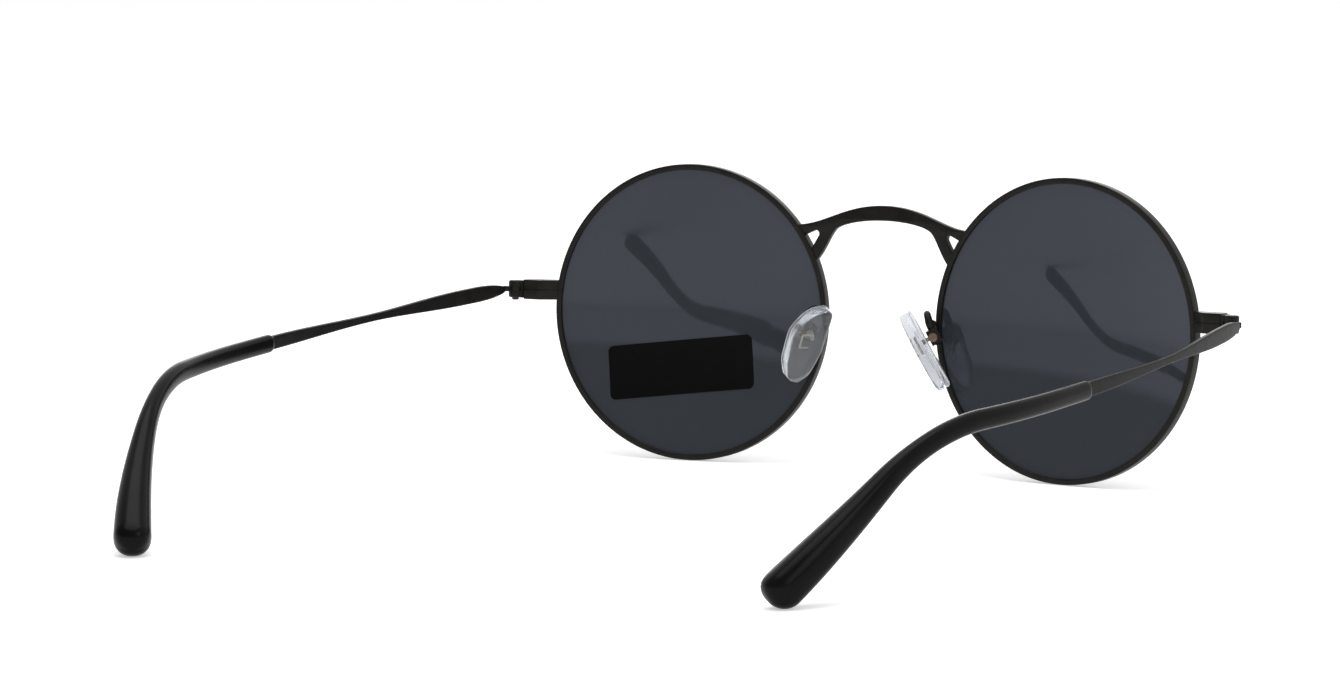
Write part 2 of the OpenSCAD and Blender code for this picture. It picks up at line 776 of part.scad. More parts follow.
// Smooth line through the points of a route, with n steps from each to the next
function smooth_route(points, n) =
    let (last = len(points) - 1)
    concat([for (i = [0:last - 1]) for (k = [0:n - 1])
        let (
            t = k / n,
            a = points[max(i - 1, 0)],
            b = points[i],
            c = points[i + 1],
            d = points[min(i + 2, last)]
        )
        0.5 * (2 * b + (c - a) * t + (2 * a - 5 * b + 4 * c - d) * t * t
            + (3 * b - a - 3 * c + d) * t * t * t)], [points[last]]);

// Rings of a round wire along a route, turned as little as possible from one to the next
function wire_rings(route, r, sides) =
    let (
        last = len(route) - 1,
        dirs = [for (i = [0:last]) unit(route[min(i + 1, last)] - route[max(i - 1, 0)])],
        normals = [for (i = 0, n = unit(cross(dirs[0], [1, 0, 0]));
            i <= last;
            i = i + 1,
            n = i <= last ? unit(n - (n * dirs[i]) * dirs[i]) : n) n]
    )
    [for (i = [0:last])
        let (side = cross(dirs[i], normals[i]))
        [for (k = [0:sides - 1])
            let (a = 360 * k / sides)
            route[i] + r * (cos(a) * normals[i] + sin(a) * side)]];

module pad_arm() color(paint) skin(wire_rings(smooth_route(arm_points, 4), arm_r, 10));

// The table touches the front lower edges of both rims and the undersides of both tips

toe = [-(rim_depth / 2 - rim_edge), -rim_out_r];
tip_points = [for (ring = tip_rings) for (p = ring) p];
lean_back = max([for (p = tip_points) atan2(toe[1] - p[2], p[1] - toe[0])]);
base_z = -(toe[0] * sin(lean_back) + toe[1] * cos(lean_back));
front_y = sphere_y * cos(wrap) * cos(lean_back) - lens_front_r;
back_y = max([for (p = tip_points) p[1] * cos(lean_back) - p[2] * sin(lean_back)]);

module stand() translate([0, -(front_y + back_y) / 2, base_z]) rotate([lean_back, 0, 0])
    children();

echo(lean_back = lean_back, shift_y = -(front_y + back_y) / 2, base_z = base_z);
echo(hinge = [hinge_x, hinge_y, end_z], pad_pivot = pad_point([pivot_out, 0, pivot_up]));

stand() rim();  // left_rim
stand() mirrored() rim();  // right_rim
stand() lens();  // left_lens
stand() mirrored() lens();  // right_lens
stand() sticker();  // lens_sticker
stand() bridge();
stand() upper_closing_block();  // left_upper_closing_block
stand() mirrored() upper_closing_block();  // right_upper_closing_block
stand() lower_closing_block();  // left_lower_closing_block
stand() mirrored() lower_closing_block();  // right_lower_closing_block
stand() closing_screw();  // left_closing_screw
stand() mirrored() closing_screw();  // right_closing_screw
stand() front_hinge();  // left_front_hinge
stand() mirrored() front_hinge();  // right_front_hinge
stand() hinge_screw();  // left_hinge_screw
stand() mirrored() hinge_screw();  // right_hinge_screw
stand() temple_hinge();  // left_temple_hinge
stand() mirrored() temple_hinge();  // right_temple_hinge
stand() temple();  // left_temple
stand() mirrored() temple();  // right_temple
stand() temple_tip();  // left_temple_tip
stand() mirrored() temple_tip();  // right_temple_tip
stand() pad_arm();  // left_pad_arm
stand() mirrored() pad_arm();  // right_pad_arm
stand() pad_box();  // left_pad_box
stand() mirrored() pad_box();  // right_pad_box
stand() pad_screw();  // left_pad_screw
stand() mirrored() pad_screw();  // right_pad_screw
stand() pad_core();  // left_pad_core
stand() mirrored() pad_core();  // right_pad_core
stand() nose_pad();  // left_nose_pad
stand() mirrored() nose_pad();  // right_nose_pad
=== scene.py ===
"""Looks of the round wire-frame sunglasses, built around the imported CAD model."""
import json
import math

import bmesh
import bpy
from mathutils import Matrix, Vector


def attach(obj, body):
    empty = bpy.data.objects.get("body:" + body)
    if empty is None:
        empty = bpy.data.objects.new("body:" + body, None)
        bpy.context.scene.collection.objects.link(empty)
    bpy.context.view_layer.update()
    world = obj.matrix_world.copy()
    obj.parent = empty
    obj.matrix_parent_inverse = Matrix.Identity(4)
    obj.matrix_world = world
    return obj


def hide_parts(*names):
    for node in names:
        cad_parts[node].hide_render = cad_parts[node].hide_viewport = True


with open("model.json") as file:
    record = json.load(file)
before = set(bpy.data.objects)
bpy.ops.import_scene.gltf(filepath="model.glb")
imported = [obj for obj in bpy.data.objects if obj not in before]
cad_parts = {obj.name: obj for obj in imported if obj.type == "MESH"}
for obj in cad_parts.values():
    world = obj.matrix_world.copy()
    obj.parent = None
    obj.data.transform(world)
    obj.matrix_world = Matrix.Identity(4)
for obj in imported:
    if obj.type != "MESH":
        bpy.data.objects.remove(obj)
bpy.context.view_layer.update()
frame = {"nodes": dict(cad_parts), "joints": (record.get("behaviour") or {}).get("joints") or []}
scene = bpy.context.scene

# Sizes in millimetres, in the front's own frame: the lens centres lie on X, +Y points back.
# Those in capitals are the CAD source's, except where a comment says otherwise.
LENS_CENTRES, WRAP = 72.0, math.radians(5.9)
LENS_R, BEVEL, LENS_GAP = 25.0, 0.5, 0.05
RIM_WALL, RIM_HALF = 0.45, 0.95
CENTRE_X = LENS_CENTRES / 2
RIM_IN, GROOVE_R = LENS_R - BEVEL, LENS_R + LENS_GAP
RIM_OUT, SEAT_R = GROOVE_R + RIM_WALL, RIM_IN - LENS_GAP
CAD_BACK_R, CAD_LENS_T = 88.0, 1.8
SPHERE_Y = math.sqrt((CAD_BACK_R + CAD_LENS_T / 2) ** 2 - SEAT_R ** 2)


def in_lens(x, y, z):
    """A point of the left lens's own frame (Y is the lens axis) in the front's frame."""
    return Vector((CENTRE_X + x * math.cos(WRAP) - y * math.sin(WRAP),
                   x * math.sin(WRAP) + y * math.cos(WRAP), z))


def turned(r, y, a):
    """Point at radius r, depth y and angle a about the left lens's axis."""
    return in_lens(r * math.cos(a), y, r * math.sin(a))


def nasal_x(z, r=RIM_OUT):
    """X of the left rim's nasal side at height z, on a circle of radius r."""
    return CENTRE_X - math.sqrt(r * r - z * z) * math.cos(WRAP)


# End pieces and hinges
END_Z, BLOCK_H, BLOCK_W, BLOCK_BACK = 2.9, 3.4, 5.4, 2.1
HINGE_OUT, HINGE_IN, HINGE_H, KNUCKLE_R, TONGUE_SPACE = 1.8, 0.5, 3.0, 1.2, 1.0
CLOSE_R, CLOSE_HEAD_R, CLOSE_EDGE, CLOSE_FORWARD, PIN_HEAD_R = 0.6, 0.95, 0.85, 0.1, 0.85
RIM_SIDE = in_lens(RIM_OUT, 0, 0)
BLOCK_X, BLOCK_FRONT = RIM_SIDE.x + BLOCK_W, RIM_SIDE.y - RIM_HALF
BLOCK_REAR = RIM_SIDE.y + RIM_HALF + BLOCK_BACK
CLOSE_AT = Vector((BLOCK_X - CLOSE_HEAD_R - CLOSE_EDGE,
                   (BLOCK_FRONT + BLOCK_REAR) / 2 - CLOSE_FORWARD))
HINGE = Vector((BLOCK_X + HINGE_OUT, BLOCK_REAR - HINGE_IN, END_Z))
# Half of the line between the closing blocks, which is finer than the CAD slit
FINE_LINE = 0.03

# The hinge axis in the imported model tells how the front's frame leans and where it stands.
left_fold = next(j for j in frame["joints"] if j["name"] == "left_temple_fold")
LEAN = math.atan2(-left_fold["axis"][1], left_fold["axis"][2])
TURN = Matrix.Rotation(LEAN, 3, "X")
SHIFT = Vector(left_fold["pos_m"]) - TURN @ (HINGE / 1000)


def row(p):
    """A point of the front's frame, in millimetres, as metres in the row frame."""
    return TURN @ (Vector(p) / 1000) + SHIFT


def make(name, shape, body, node, finish, side=1, sharp=40):
    """Piece from points in the front's frame and faces, all turned outward.

    Side -1 makes the right-hand mirror image. The piece stands for the CAD node, where one is
    given. Edges that bend more than sharp degrees stay sharp.
    """
    points, faces = shape
    mesh = bpy.data.meshes.new(name)
    mesh.from_pydata([row((side * p[0], p[1], p[2])) for p in points], [], faces)
    mesh.validate()
    mesh.update()
    work = bmesh.new()
    work.from_mesh(mesh)
    if work.calc_volume(signed=True) < 0:
        mesh.flip_normals()
    work.free()
    for polygon in mesh.polygons:
        polygon.use_smooth = True
    mesh.set_sharp_from_angle(angle=math.radians(sharp))
    mesh.materials.append(finish)
    piece = bpy.data.objects.new(name, mesh)
    scene.collection.objects.link(piece)
    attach(piece, body)
    if node:
        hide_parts(node)


def skin(rings, closed=False, caps=True):
    """Points and faces of a surface over rings that have the same number of points."""
    sides = len(rings[0])
    count = len(rings)
    points = [p for ring in rings for p in ring]
    faces = []
    for i in range(count if closed else count - 1):
        for k in range(sides):
            a, b = i * sides + k, i * sides + (k + 1) % sides
            c, d = (i + 1) % count * sides + k, (i + 1) % count * sides + (k + 1) % sides
            faces.append((a, b, d, c))
    if caps and not closed:
        faces.append(tuple(reversed(range(sides))))
        faces.append(tuple((count - 1) * sides + k for k in range(sides)))
    return points, faces


# Outlines: lists of 2-D points

def fillet(before, at, after, radius, steps=6):
    """Arc that rounds the corner at a point between two others."""
    u = (before - at).normalized()
    v = (after - at).normalized()
    half = math.acos(max(-1, min(1, u.dot(v)))) / 2
    middle = at + (u + v).normalized() * radius / math.sin(half)
    start = at + u * radius / math.tan(half) - middle
    turn = (1 if u.x * v.y - u.y * v.x < 0 else -1) * (math.pi - 2 * half)
    return [middle + Matrix.Rotation(turn * k / steps, 2) @ start for k in range(steps + 1)]


def rounded(corners, steps=6):
    """Closed outline with the corner at each (x, y, radius) rounded."""
    spots = [Vector((x, y)) for x, y, _ in corners]
    points = []
    for i, (_, _, radius) in enumerate(corners):
        points += fillet(spots[i - 1], spots[i], spots[(i + 1) % len(spots)], radius, steps)
    return points


def quarter(x, y, radius, start, steps=5):
    """Quarter circle about (x, y), anticlockwise from start degrees."""
    angles = [math.radians(start + 90 * k / steps) for k in range(steps + 1)]
    return [(x + radius * math.cos(a), y + radius * math.sin(a)) for a in angles]


def cubic(a, b, c, d, steps):
    """Bezier curve from a to d, with the control points b and c."""
    a, b, c, d = map(Vector, (a, b, c, d))
    out = []
    for i in range(steps + 1):
        t = i / steps
        u = 1 - t
        out.append(a * u ** 3 + b * 3 * u * u * t + c * 3 * u * t * t + d * t ** 3)
    return out


def spread(outline, gap):
    """The closed outline with further points, none farther apart than gap."""
    out = []
    for i, p in enumerate(outline):
        q = outline[(i + 1) % len(outline)]
        parts = max(1, math.ceil((q - p).length / gap))
        out += [p.lerp(q, k / parts) for k in range(parts)]
    return out


def centre_of(outline):
    """Mean of an outline's points."""
    return sum(outline, Vector((0, 0))) / len(outline)


def outward(outline):
    """Normal at each point of a closed outline, away from its middle."""
    middle = centre_of(outline)
    normals = []
    for i, p in enumerate(outline):
        t = (outline[(i + 1) % len(outline)] - outline[i - 1]).normalized()
        n = Vector((t.y, -t.x))
        normals.append(n if n.dot(p - middle) > 0 else -n)
    return normals


def inset_rings(outline, levels):
    """Rings of a closed outline at levels of (height, inset along the outline's normals)."""
    pairs = list(zip(outline, outward(outline)))
    return [[(p - n * inset, height) for p, n in pairs] for height, inset in levels]


# Materials

WHITE = (1, 1, 1, 1)
# Height of the bumps, in metres
BUMP_DISTANCE = 0.0001
# Noises: scale, as a share of the grain, and detail
COLOR_NOISE, ROUGH_NOISE, BUMP_NOISE = (0.25, 4), (0.6, 3), (3, 2)
# Noise values between which the colour changes
DARK_END, LIGHT_END = 0.3, 0.7


def feed(node, inputs):
    """Give inputs of a shader node a value, or a link from another node's output."""
    for key, value in inputs.items():
        if isinstance(value, bpy.types.NodeSocket):
            node.id_data.links.new(value, node.inputs[key])
        else:
            node.inputs[key].default_value = value


def add(tree, kind, inputs):
    """New shader node with its inputs fed."""
    node = tree.nodes.new(kind)
    feed(node, inputs)
    return node


def maths(tree, operation, a, b):
    """Output of a node that works out one operation on two values."""
    node = add(tree, "ShaderNodeMath", {0: a, 1: b})
    node.operation = operation
    return node.outputs["Value"]


def material(name, color, roughness, metallic=0.0, vary=0.15, grain=900.0, bump=0.02,
             rough_vary=0.05, specular=0.5, transmission=0.0, ior=1.5, tint=(1, 1, 1),
             absorb=None):
    """Procedural material: fine noise varies its colour and roughness and gives a slight bump.

    Absorb holds the colour and the density of what the inside of a clear piece takes away.
    """
    mat = bpy.data.materials.new(name)
    mat.use_nodes = True
    tree = mat.node_tree
    place = tree.nodes.new("ShaderNodeTexCoord").outputs["Object"]

    def noise(share, detail):
        """Noise in the piece's own coordinates."""
        inputs = {"Vector": place, "Scale": grain * share, "Detail": detail}
        return add(tree, "ShaderNodeTexNoise", inputs).outputs["Fac"]

    colors = add(tree, "ShaderNodeValToRGB", {"Fac": noise(*COLOR_NOISE)})
    stops = zip(colors.color_ramp.elements, (DARK_END, LIGHT_END), (1 - vary, 1 + vary))
    for stop, position, share in stops:
        stop.position = position
        stop.color = (*(min(1, c * share) for c in color), 1)
    rough = add(tree, "ShaderNodeMapRange", {
        "Value": noise(*ROUGH_NOISE),
        "To Min": max(0.0, roughness - rough_vary),
        "To Max": min(1.0, roughness + rough_vary)})
    relief = add(tree, "ShaderNodeBump", {
        "Height": noise(*BUMP_NOISE), "Strength": bump, "Distance": BUMP_DISTANCE})
    feed(tree.nodes["Principled BSDF"], {
        "Base Color": colors.outputs["Color"], "Roughness": rough.outputs["Result"],
        "Normal": relief.outputs["Normal"], "Metallic": metallic, "IOR": ior,
        "Specular IOR Level": specular, "Specular Tint": (*tint, 1),
        "Transmission Weight": transmission})
    if absorb:
        color_inside, density = absorb
        inside = add(tree, "ShaderNodeVolumeAbsorption", {
            "Color": (*color_inside, 1), "Density": density})
        feed(tree.nodes["Material Output"], {"Volume": inside.outputs["Volume"]})
    return mat


PAINT = material("frame_paint", (0.0095, 0.0088, 0.0075), 0.34, vary=0.3, grain=1500, bump=0.05,
                 specular=0.15)
BLADE = material("blade_paint", (0.0135, 0.0125, 0.012), 0.36, vary=0.2, grain=1500, bump=0.03,
                 specular=0.055)
ACETATE = material("tip_acetate", (0.0045, 0.0045, 0.0048), 0.24, vary=0.35, grain=500, bump=0.012,
                   specular=0.075)
LENS = material("lens_tint", (0.036, 0.041, 0.048), 0.03, vary=0.04, grain=60, bump=0.0,
                rough_vary=0.01, specular=0.33, tint=(0.76, 0.8, 1.0))
SILICONE = material("pad_silicone", (0.86, 0.87, 0.885), 0.1, vary=0.02, grain=700, bump=0.0,
                    rough_vary=0.02, transmission=0.95, ior=1.41,
                    absorb=((0.49, 0.52, 0.58), 130.0))
CORE = material("pad_core_plastic", (0.93, 0.94, 0.94), 0.1, vary=0.03, grain=700, bump=0.0,
                transmission=1.0, ior=1.02)
BRACKET = material("pad_bracket", (0.36, 0.37, 0.31), 0.38, metallic=0.4, vary=0.2, grain=2500,
                   bump=0.05)
BRASS = material("pad_screw_brass", (0.16, 0.115, 0.085), 0.36, metallic=1.0, vary=0.3, grain=2500,
                 bump=0.05)
STEEL = material("dark_screw", (0.03, 0.03, 0.031), 0.36, metallic=0.7, vary=0.2, grain=2500,
                 bump=0.05)
FILM = material("sticker_film", (0.0014, 0.0014, 0.0016), 0.5, vary=0.2, grain=2200, bump=0.05,
                rough_vary=0.08, specular=0.08)


# Rims and lenses

def rim(side, name):
    """Turned ring with rounded edges and the lens groove, open at the slit of its end piece."""
    outer, inner, steps = 0.22, 0.15, 320
    profile = quarter(RIM_OUT - outer, outer - RIM_HALF, outer, 270)
    profile += quarter(RIM_OUT - outer, RIM_HALF - outer, outer, 0)
    profile += quarter(RIM_IN + inner, RIM_HALF - inner, inner, 90)
    lip = BEVEL + LENS_GAP
    profile += [(RIM_IN, lip), (GROOVE_R, 0), (RIM_IN, -lip)]
    profile += quarter(RIM_IN + inner, inner - RIM_HALF, inner, 180)
    start = math.asin(END_Z / RIM_OUT) + FINE_LINE / RIM_OUT
    sweep = 2 * math.pi - 2 * FINE_LINE / RIM_OUT
    rings = [[turned(r, y, start + sweep * i / steps) for r, y in profile]
             for i in range(steps + 1)]
    make(name, skin(rings), "front", name, PAINT, side, sharp=38)


# The lens is thinner than the solid: its front lies as there and its back farther forward.
LENS_T = 1.1
LENS_FRONT_R = CAD_BACK_R + CAD_LENS_T
LENS_BACK_R = LENS_FRONT_R - LENS_T


def dish(radius, r):
    """Depth of a lens surface of that radius, at the distance r from the lens axis."""
    return SPHERE_Y - math.sqrt(radius ** 2 - r * r)


def lens(side, name):
    """Dished shell with a V-shaped bevel, turned about the lens axis."""
    ring_count, steps = 36, 256
    # end of the bevel at the back: its distance outside the seat and its depth
    rear_step, rear_y = 0.15, 0.25
    radii = [SEAT_R * i / ring_count for i in range(1, ring_count + 1)]
    outline = [(r, dish(LENS_FRONT_R, r)) for r in radii]
    outline += [(SEAT_R, -BEVEL), (LENS_R, 0), (SEAT_R + rear_step, rear_y)]
    outline += [(r, dish(LENS_BACK_R, r)) for r in reversed(radii)]
    points, faces = skin([[turned(r, y, 2 * math.pi * k / steps) for k in range(steps)]
                          for r, y in outline], caps=False)
    last = len(points) - steps
    front_pole, back_pole = len(points), len(points) + 1
    points += [in_lens(0, dish(LENS_FRONT_R, 0), 0), in_lens(0, dish(LENS_BACK_R, 0), 0)]
    for k in range(steps):
        faces.append((front_pole, (k + 1) % steps, k))
        faces.append((back_pole, last + k, last + (k + 1) % steps))
    make(name, (points, faces), "front", name, LENS, side, sharp=30)


STICKER_W, STICKER_H, STICKER_T, STICKER_ROUND = 26.8, 9.3, 0.12, 1.0
STICKER_AT = Vector((2.6, -9.7))
STICKER_SLANT = math.radians(6.8)


def sticker():
    """Thin film with rounded corners that follows the hollow back of the left lens."""
    half_w, half_h = STICKER_W / 2, STICKER_H / 2
    outline = spread(rounded([(x, y, STICKER_ROUND) for x, y in (
        (-half_w, -half_h), (half_w, -half_h), (half_w, half_h), (-half_w, half_h))], 8), 0.8)
    under, over = LENS_BACK_R - 0.004, LENS_BACK_R - STICKER_T
    shares = [0.04] + [k / 10 for k in range(1, 11)]
    levels = [(share, under) for share in shares]
    levels += [(1.0, LENS_BACK_R - STICKER_T * 0.7), (0.997, over)]
    levels += [(share, over) for share in reversed(shares[:-1])]

    def lay(p, radius):
        """Place a point of the sticker's outline on a surface of the lens."""
        spot = STICKER_AT + Matrix.Rotation(-STICKER_SLANT, 2) @ p
        return in_lens(spot.x, dish(radius, spot.length), spot.y)

    rings = [[lay(p * share, radius) for p in outline] for share, radius in levels]
    make("lens_sticker", skin(rings), "front", "lens_sticker", FILM, sharp=35)


# End pieces: closing blocks with a fine line between them, and the front hinge on their side

def eased(top, soft, steps):
    """Levels of (height, inset) that round the upper edge of a piece."""
    return [(top - soft + soft * math.sin(a), soft * (1 - math.cos(a)))
            for a in (math.pi / 2 * k / steps for k in range(steps + 1))]


def bored(outline, levels, centre, radius, depth):
    """Rings of an outline at its levels, with a round seat for a screw in the top."""
    rings = inset_rings(outline, levels)
    circle = [centre + (p - centre).normalized() * radius for p in outline]
    top = levels[-1][0]
    rings.append([(p, top) for p in circle])
    rings.append([(p, top - depth) for p in circle])
    return rings


def upright(name, rings, node, side, up=1):
    """Piece of the front from rings of (x and y, height over the end piece's middle)."""
    solid = [[(p.x, p.y, END_Z + up * height) for p, height in ring] for ring in rings]
    make(name, skin(solid), "front", node, PAINT, side, sharp=32)


def closing_block(side, name, up):
    """Half of an end piece, with its back sloping down to the rim."""
    buried, slope_end, slope_foot = RIM_SIDE.x - 0.5, RIM_SIDE.x + 2.1, RIM_SIDE.y + RIM_HALF - 0.2
    in_rim, front_round, rear_round, slope_round = 0.05, 1.6, 0.3, 1.2
    outline = spread(rounded([
        (buried, BLOCK_FRONT, in_rim), (BLOCK_X, BLOCK_FRONT, front_round),
        (BLOCK_X, BLOCK_REAR, rear_round), (slope_end, BLOCK_REAR, slope_round),
        (buried, slope_foot, in_rim)]), 0.25)
    edge, soft = 0.04, 0.16
    levels = [(FINE_LINE, edge), (FINE_LINE + edge, 0), *eased(BLOCK_H / 2, soft, 4)]
    seat_r, depth = (CLOSE_HEAD_R + 0.03, 0.33) if up > 0 else (CLOSE_R, 0.1)
    upright(name, bored(outline, levels, CLOSE_AT, seat_r, depth), name, side, up)


def front_hinge(side, name):
    """Plate on the closing blocks with two rounded knuckles round the hinge screw."""
    axis = Vector((HINGE.x, HINGE.y))
    gap, edge, soft = 0.3, 0.03, 0.33
    first_angle, last_angle, turn_step = -90, 155, 5
    eye = [axis + KNUCKLE_R * Vector((math.cos(math.radians(a)), math.sin(math.radians(a))))
           for a in range(first_angle, last_angle + 1, turn_step)]
    outline = spread([Vector((BLOCK_X, axis.y - KNUCKLE_R)), *eye, Vector((BLOCK_X, BLOCK_REAR))],
                     gap)
    low = TONGUE_SPACE / 2
    levels = [(low, edge), (low + edge, 0), *eased(HINGE_H / 2, soft, 5)]
    seat_r, depth = PIN_HEAD_R + 0.02, 0.32
    knuckle = bored(outline, levels, axis, seat_r, depth)
    upright(name, knuckle, name, side)
    upright(name + "_low", knuckle, None, side, up=-1)

    near, far, plate_front = BLOCK_X + 0.02, HINGE.x - KNUCKLE_R - 0.1, axis.y - 2.3
    half, edge, tight, front_round = HINGE_H / 2, 0.08, 0.05, 0.2
    plate = spread(rounded([(near, plate_front, tight), (far, plate_front, front_round),
                            (far, BLOCK_REAR, tight), (near, BLOCK_REAR, tight)]), gap)
    levels = [(-half, edge), (edge - half, 0), (half - edge, 0), (half, edge)]
    upright(name + "_plate", inset_rings(plate, levels), None, side)


# Bridge

BRIDGE_TOP, BRIDGE_BAR, BRIDGE_T = 19.5, 2.55, 1.3
JOIN_TOP, JOIN_LOW, BRIDGE_BOW_R = 15.85, 9.9, 150.0
SHOULDER_X, SHOULDER_DROP = 9.0, 1.55
WINDOW_TOP, WINDOW_LOW, WINDOW_REACH, WINDOW_ROUND = 14.1, 11.9, 3.45, 0.6
# Rounding of the bridge's edges, set for the looks
BRIDGE_SOFT = 0.24


def bridge_outline():
    """Outline of the arch from the front; its windows are notches that the rims close."""
    half = nasal_x(JOIN_TOP)
    inner = BRIDGE_TOP - BRIDGE_BAR
    shoulder = Vector((SHOULDER_X, inner - SHOULDER_DROP))
    join_low = Vector((nasal_x(JOIN_LOW), JOIN_LOW))
    # handles of the curves along the upper and the lower side
    crest_handle, join_handle = (0.47 * half, BRIDGE_TOP), (0.68 * half, JOIN_TOP + 0.3)
    inner_handle, join_rise = (4, inner), Vector((-1.6, 1.8))
    shoulder_rise, shoulder_fall = Vector((-1.4, 0.9)), Vector((1.2, -0.9))
    upper = cubic((0, BRIDGE_TOP), crest_handle, join_handle, (half, JOIN_TOP), 30)
    lower = cubic((0, inner), inner_handle, shoulder + shoulder_rise, shoulder, 16)
    lower += cubic(shoulder, shoulder + shoulder_fall, join_low + join_rise, join_low, 18)[1:]
    buried_r = RIM_OUT - 0.35

    def in_rim(height, drop=0.0):
        """Point in the wall of the rim at a height, or straight below it by drop."""
        return Vector((nasal_x(height, buried_r), height - drop))

    top_end = in_rim(WINDOW_TOP, drop=0.16)
    low_end = in_rim(WINDOW_LOW, drop=0.6)
    window_tip = Vector((nasal_x(WINDOW_TOP) - WINDOW_REACH, WINDOW_TOP + 0.45 * WINDOW_REACH))
    window = fillet(top_end, window_tip, low_end, WINDOW_ROUND, 8)
    # heights of the points inside the rim's wall, above and below the window
    above = [JOIN_TOP - 0.05 - 0.5 * k for k in range(4)]
    below = [WINDOW_LOW - 0.8 - 0.4 * k for k in range(3)]
    right = upper + [in_rim(z) for z in above]
    right += [top_end, *window, low_end]
    right += [in_rim(z) for z in below]
    right += [in_rim(JOIN_LOW, drop=-0.05), *reversed(lower)]
    return right + [Vector((-p.x, p.y)) for p in reversed(right[1:-1])]


def soft_plate(name, outline, thick, soft):
    """Points and faces of a flat plate in X and Y, its edges rounded by soft."""
    curve = bpy.data.curves.new(name, "CURVE")
    curve.dimensions = "2D"
    curve.fill_mode = "BOTH"
    spline = curve.splines.new("POLY")
    spline.points.add(len(outline) - 1)
    for point, p in zip(spline.points, outline):
        point.co = (p.x, p.y, 0, 1)
    spline.use_cyclic_u = True
    curve.extrude = thick / 2 - soft
    curve.bevel_depth = soft
    curve.bevel_resolution = 3
    curve.offset = -soft
    holder = bpy.data.objects.new(name, curve)
    scene.collection.objects.link(holder)
    bpy.context.view_layer.update()
    flat = bpy.data.meshes.new_from_object(holder)
    bpy.data.objects.remove(holder)
    work = bmesh.new()
    work.from_mesh(flat)
    bmesh.ops.remove_doubles(work, verts=work.verts, dist=1e-4)
    bmesh.ops.recalc_face_normals(work, faces=work.faces)
    work.verts.index_update()
    points = [v.co.copy() for v in work.verts]
    faces = [[v.index for v in f.verts] for f in work.faces]
    work.free()
    return points, faces


def bridge():
    """Pierced arch, cut from a plate that bows forward."""
    points, faces = soft_plate("bridge_outline", bridge_outline(), BRIDGE_T, BRIDGE_SOFT)
    join_y = -math.sqrt(RIM_OUT ** 2 - JOIN_TOP ** 2) * math.sin(WRAP)
    axis_y = join_y + math.sqrt(BRIDGE_BOW_R ** 2 - nasal_x(JOIN_TOP) ** 2)
    bowed = [((BRIDGE_BOW_R + p.z) * math.sin(p.x / BRIDGE_BOW_R),
              axis_y - (BRIDGE_BOW_R + p.z) * math.cos(p.x / BRIDGE_BOW_R), p.y) for p in points]
    make("bridge", (bowed, faces), "front", "bridge", PAINT, sharp=40)


# Temples and tips, swept along the same middle line as in the CAD source

SPLAY, SLOPE, EAR_SLOPE = 10.2, 5.6, 41.0
TEMPLE_BOW_R, CURL_START, CURL_R = 335.0, 76.0, 112.0
BEND_START, BEND_R = 95.0, 36.5
BEND_END = BEND_START + math.radians(EAR_SLOPE - SLOPE) * BEND_R
TEMPLE_LEN, TEMPLE_OFFSET = 142.5, 1.4
BLADE_FRONT, BLADE_NOSE, BLADE_AT, WAIST_AT, TIP_AT = 1.3, 7.5, 12.0, 37.0, 66.0
BLADE_H, WAIST_H, ENTRY_H, TONGUE_H, BLADE_T, CORE_H = 2.65, 1.25, 2.25, 0.9, 0.95, 1.4
BLADE_LEAN, TIP_ROUND = -4.0, 3.1
BLADE_LEAD = 1 - math.sqrt(1 - (TONGUE_H / BLADE_H) ** 2)
# The core wire ends a little earlier than in the CAD source, unseen in its tip.
CORE_END = 131.0
# The middle line is worked out in finer steps than in the CAD source.
PATH_STEP = 0.25
TIP_BEND = (BEND_START + BEND_END) / 2
# Tables of (station, value); a station is a distance along the middle line from its start.
HEIGHTS = [(BLADE_AT, BLADE_H), (WAIST_AT, WAIST_H), (TIP_AT - 1, ENTRY_H), (TIP_AT + 1, ENTRY_H),
           (TIP_AT + 8, CORE_H)]
LEANS = [(BLADE_FRONT, 0), (BLADE_AT, BLADE_LEAN), (BEND_START, BLADE_LEAN), (BEND_END, 0)]
TIP_H = [(TIP_AT, 3.0), (TIP_BEND, 3.25), (TEMPLE_LEN, 6.2)]
TIP_T = [(TIP_AT, 2.1), (TIP_BEND, 2.65), (TEMPLE_LEN, 6.0)]


def heading(s):
    """Angle of the middle line from straight back at the station s, seen from above."""
    bowed, curled = min(s, CURL_START), max(s - CURL_START, 0)
    return math.radians(SPLAY) - bowed / TEMPLE_BOW_R - curled / CURL_R


def dip(s):
    """Angle of the middle line below the horizontal."""
    bend = min(max(s, BEND_START), BEND_END) - BEND_START
    return math.radians(SLOPE) + bend / BEND_R


def path_dir(s):
    """Direction of the middle line."""
    return Vector((math.sin(heading(s)) * math.cos(dip(s)),
                   math.cos(heading(s)) * math.cos(dip(s)), -math.sin(dip(s))))


PATH = [HINGE + Vector((TEMPLE_OFFSET, 0, 0))]
for step in range(int(TEMPLE_LEN / PATH_STEP) + 2):
    PATH.append(PATH[-1] + PATH_STEP * path_dir((step + 0.5) * PATH_STEP))


def path_point(s):
    """Point of the middle line."""
    i = int(s / PATH_STEP)
    return PATH[i].lerp(PATH[i + 1], s / PATH_STEP - i)


def through(table, s):
    """Value at a station, eased between the rows of a table."""
    if s <= table[0][0]:
        return table[0][1]
    for (s0, v0), (s1, v1) in zip(table, table[1:]):
        if s <= s1:
            t = (s - s0) / (s1 - s0)
            return v0 + (v1 - v0) * t * t * (3 - 2 * t)
    return table[-1][1]


